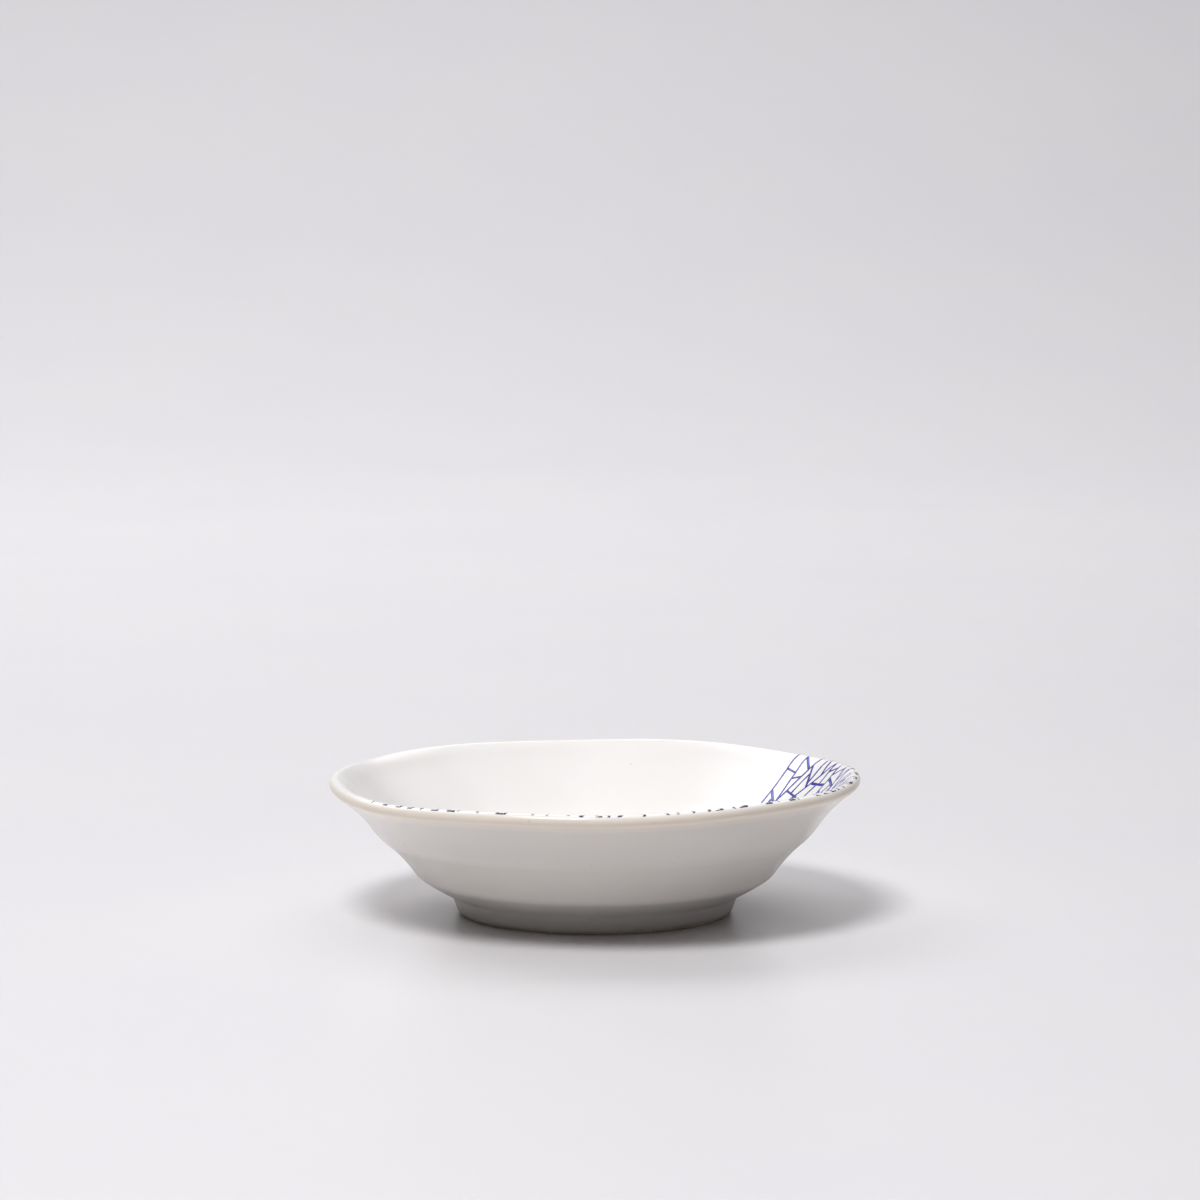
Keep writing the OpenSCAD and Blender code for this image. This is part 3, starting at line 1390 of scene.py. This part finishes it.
@dataclass
class PaintedNet:
    """The cobalt net on half of the inside, each stroke a thin raised ribbon on the glaze."""

    outline: DishOutline
    lip_stop: float = 58.0
    edge_share: float = 0.9999
    step: float = 0.55 * MM
    least_steps: int = 3
    lift: float = 0.022 * MM
    root: float = -0.05 * MM
    wander: float = 0.55 * MM
    wander_size: float = 8 * MM
    wander_levels: Span = (0.5, 7.5)
    uneven: float = 0.22
    uneven_size: float = 2.5 * MM
    tip_share: float = 0.65
    pool: float = 0.9 * MM
    pool_spread: float = 0.25
    pool_ink: float = 0.25
    lip_start: float = 1.4 * MM
    lip_full: float = 0.3 * MM
    lip_spread: float = 0.3
    lip_ink: float = 0.6
    brushes: dict[StrokeKind, Brush] = field(
        default_factory=lambda: {
            StrokeKind.CRACK: Brush(0.64 * MM, 0.68),
            StrokeKind.BAR: Brush(0.46 * MM, 0.72),
            StrokeKind.BORDER: Brush(0.58 * MM, 0.7),
            StrokeKind.RIM: Brush(0.54 * MM, 1.05),
        }
    )
    section: Spots = ((-1.0, 0.0), (-0.6, 0.75), (0.0, 1.0), (0.6, 0.75), (1.0, 0.0))

    def __post_init__(self) -> None:
        """Works out the inside's surface, from the middle of the floor to where the strokes stop."""
        surface = self.outline.glaze_over(self.outline.bowl_clay(), edge_first=True)[::-1]
        across = [-n for n in normals(surface)]
        inside = [i for i, n in enumerate(across) if math.degrees(math.atan2(n.y, n.x)) > self.lip_stop]
        lip = next(i for i in range(len(surface)) if i not in inside)
        self.surface, self.across = surface[: lip + 1], across[: lip + 1]
        self.far = distances(self.surface)

    def on_dish(self, flat: Vector, lift: float) -> Vector:
        """Sets a point of the flattened inside on the dish.

        Args:
            flat: The point, whose distance from the middle is measured along the surface.
            lift: Height above the surface.

        Returns:
            The point's place.
        """
        reach = min(flat.length, self.far[-1] * self.edge_share)
        k = next(i for i, d in enumerate(self.far) if d > reach)
        share = (reach - self.far[k - 1]) / (self.far[k] - self.far[k - 1])
        point = self.surface[k - 1].lerp(self.surface[k], share)
        normal = self.across[k - 1].lerp(self.across[k], share).normalized()
        return self.outline.place(point + normal * lift, math.atan2(flat.y, flat.x))

    def hand(self, flat: Vector) -> Vector:
        """Lets a point wander as a hand does, the same way for all strokes that meet there.

        Args:
            flat: The point on the flattened inside.

        Returns:
            The point where the hand puts it.
        """
        x, y = flat / self.wander_size
        drift = Vector([noise.noise(Vector((x, y, level))) for level in self.wander_levels])
        return flat + drift * self.wander

    def ribbon(self, stroke: Stroke) -> tuple[list[Vector], list[float], int]:
        """Shapes one stroke.

        Args:
            stroke: The stroke to shape.

        Returns:
            Its points ring by ring, the ink at each, and the number of rings.
        """
        brush = self.brushes[stroke.kind]
        length = (stroke.end - stroke.start).length
        steps = max(self.least_steps, round(length / self.step))
        path = [self.hand(stroke.start.lerp(stroke.end, i / steps)) for i in range(steps + 1)]
        reach = self.far[-1]
        points, inks = [], []
        for i, here in enumerate(path):
            ahead = path[min(i + 1, steps)] - path[max(i - 1, 0)]
            to_end = min(i, steps - i) * length / steps
            pooled = math.exp(-((to_end / self.pool) ** 2))
            at_lip = smoothstep(reach - self.lip_start, reach - self.lip_full, here.length)
            patch = Vector((here.x, here.y, brush.width)) / self.uneven_size
            uneven = 1 + self.uneven * noise.noise(patch)
            half = brush.width / 2 * uneven * (1 + self.pool_spread * pooled + self.lip_spread * at_lip)
            side = right_of(ahead) * half * (self.tip_share if i in (0, steps) else 1.0)
            ring = [self.on_dish(here + side * x, self.lift * h) for x, h in self.section]
            ring += [self.on_dish(here + side, self.root), self.on_dish(here - side, self.root)]
            points += ring
            inks += [brush.ink + self.pool_ink * pooled + self.lip_ink * at_lip] * len(ring)
        return points, inks, steps + 1

    def skin(self, first: int, patch: MapPatch) -> tuple[list[tuple[int, ...]], list[Spots]]:
        """Joins one stroke's rings with faces and closes its ends.

        Args:
            first: Number of the stroke's first point.
            patch: The stroke's patch of the texture map.

        Returns:
            The faces, and the places of their corners on the texture map.
        """
        around = patch.around
        faces, spots = [], []
        for j in range(patch.rings - 1):
            low = first + j * around
            high = low + around
            for i in range(around):
                k = (i + 1) % around
                faces.append((low + i, low + k, high + k, high + i))
                corners = ((j, i), (j, i + 1), (j + 1, i + 1), (j + 1, i))
                spots.append(tuple(patch.at(ring, side) for ring, side in corners))
        for ring in (0, patch.rings - 1):
            start = first + ring * around
            faces.append(tuple(range(start, start + around)))
            spots.append(patch.end(ring))
        return faces, spots

    def build(self) -> None:
        """Paints every stroke into one piece and sets it in the frame."""
        strokes = CrackedIce(self.far[-1]).draw()
        columns = math.ceil(math.sqrt(len(strokes)))
        points, inks, faces, spots = [], [], [], []
        for number, stroke in enumerate(strokes):
            ribbon, ink, rings = self.ribbon(stroke)
            row, column = divmod(number, columns)
            patch = MapPatch(column, row, columns, rings, len(ribbon) // rings)
            new_faces, new_spots = self.skin(len(points), patch)
            points += ribbon
            inks += ink
            faces += new_faces
            spots += new_spots
        piece = closed_object("cobalt_lines", points, faces, spots, {"ink": inks})
        set_in_frame(piece, Slot.PAINT, CobaltFinish("cobalt_paint"))
        LOG.info("cobalt_lines: %d strokes", len(strokes))


# The studio


@dataclass(frozen=True)
class Lamp:
    """A soft lamp, a disc or an oblong, which the camera itself doesn't see."""

    name: str
    place: tuple[float, float, float]
    aim: tuple[float, float, float]
    size: tuple[float, float]
    power: float

    def build(self) -> None:
        """Hangs the lamp, turned to its aim."""
        lamp = bpy.data.lights.new(self.name, "AREA")
        lamp.shape = "ELLIPSE" if self.size[0] == self.size[1] else "RECTANGLE"
        lamp.size, lamp.size_y = self.size
        lamp.energy = self.power
        holder = bpy.data.objects.new(self.name, lamp)
        holder.location = self.place
        way = Vector(self.aim) - Vector(self.place)
        holder.rotation_euler = way.to_track_quat("-Z", "Y").to_euler()
        holder.visible_camera = False
        bpy.context.collection.objects.link(holder)


@dataclass(frozen=True)
class Studio:
    """A pale sweep that bends up behind the dish, soft lamps, and a pale surround that lights nothing."""

    front: float = -1.6
    back: float = 0.9
    bend_r: float = 1.2
    half_w: float = 2.2
    flat_steps: int = 5
    bend_steps: int = 16
    surround: str = "#e6e4e7"
    lamps: tuple[Lamp, ...] = (
        Lamp("key", (-0.21, -0.45, 0.87), (0, 0, 0), (0.36, 0.36), 6.8),
        Lamp("fill", (0.4, -0.1, 1.1), (0.2, 0, 0), (1.2, 1.2), 2.7),
        Lamp("backdrop", (-0.2, 0.97, 0.95), (-0.2, 0.97, 0), (1.8, 0.8), 9.6),
        Lamp("back_left", (-0.6, 0.55, 0.8), (-0.45, 0.6, 0), (0.8, 0.8), 2.2),
    )

    def build(self) -> None:
        """Makes the sweep, the lamps and the surround."""
        scene = bpy.context.scene
        scene.view_settings.view_transform = "Standard"
        self.sweep()
        for lamp in self.lamps:
            lamp.build()
        scene.world = self.pale_surround()

    def pale_surround(self) -> bpy.types.World:
        """Makes a world that the camera and the reflections see, and that gives no other light.

        Returns:
            The new world.
        """
        world = bpy.data.worlds.new("surround")
        world.use_nodes = True
        bench = NodeBench(world.node_tree)
        ray = bench.add("ShaderNodeLightPath", {}).outputs
        shown = bench.sum("MAXIMUM", ray["Is Camera Ray"], ray["Is Glossy Ray"])
        shown = bench.sum("MAXIMUM", shown, ray["Is Transmission Ray"])
        sky = world.node_tree.nodes["Background"].inputs
        bench.feed(sky["Strength"], shown)
        bench.feed(sky["Color"], colour(self.surround))
        return world

    def sweep(self) -> None:
        """Makes the floor and its bend."""
        flat = bowed(Vector((self.front, 0)), Vector((self.back, 0)), 0, self.flat_steps)
        bend = [Vector((self.back, self.bend_r)) + p for p in arc(self.bend_r, -90, 0, self.bend_steps)]
        line = [Vector((self.front, 0)), *flat[:-1], *bend]
        points = [(side * self.half_w, p.x, p.y) for p in line for side in (-1, 1)]
        faces = [(2 * j, 2 * j + 1, 2 * j + 3, 2 * j + 2) for j in range(len(line) - 1)]
        mesh = bpy.data.meshes.new("sweep")
        mesh.from_pydata(points, [], faces)
        mesh.shade_smooth()
        mesh.materials.append(PaperFinish("sweep_paper").material())
        sweep = bpy.data.objects.new("sweep", mesh)
        bpy.context.collection.objects.link(sweep)


@dataclass(frozen=True)
class Camera:
    """A long lens in front of the dish, a little above its lip."""

    place: tuple[float, float, float] = (0.00096, -0.8, 0.1446)
    pitch: float = 6.1
    lens: float = 128.5
    sensor: float = 36.0

    def build(self) -> None:
        """Makes the camera and gives it to the scene."""
        lens = bpy.data.cameras.new("camera")
        lens.lens = self.lens
        lens.sensor_width = self.sensor
        camera = bpy.data.objects.new("camera", lens)
        camera.location = self.place
        camera.rotation_euler = (math.radians(90 - self.pitch), 0, 0)
        bpy.context.collection.objects.link(camera)
        bpy.context.scene.camera = camera


def main() -> None:
    """Builds the camera and the studio, then the dish piece by piece."""
    logging.basicConfig(level=logging.INFO, format="%(name)s: %(message)s")
    Camera().build()
    Studio().build()
    outline = DishOutline(DishSizes.from_frame())
    GlazeCoats(outline).build()
    BareFoot(outline).build()
    PaintedNet(outline).build()


if __name__ == "__main__":
    main()
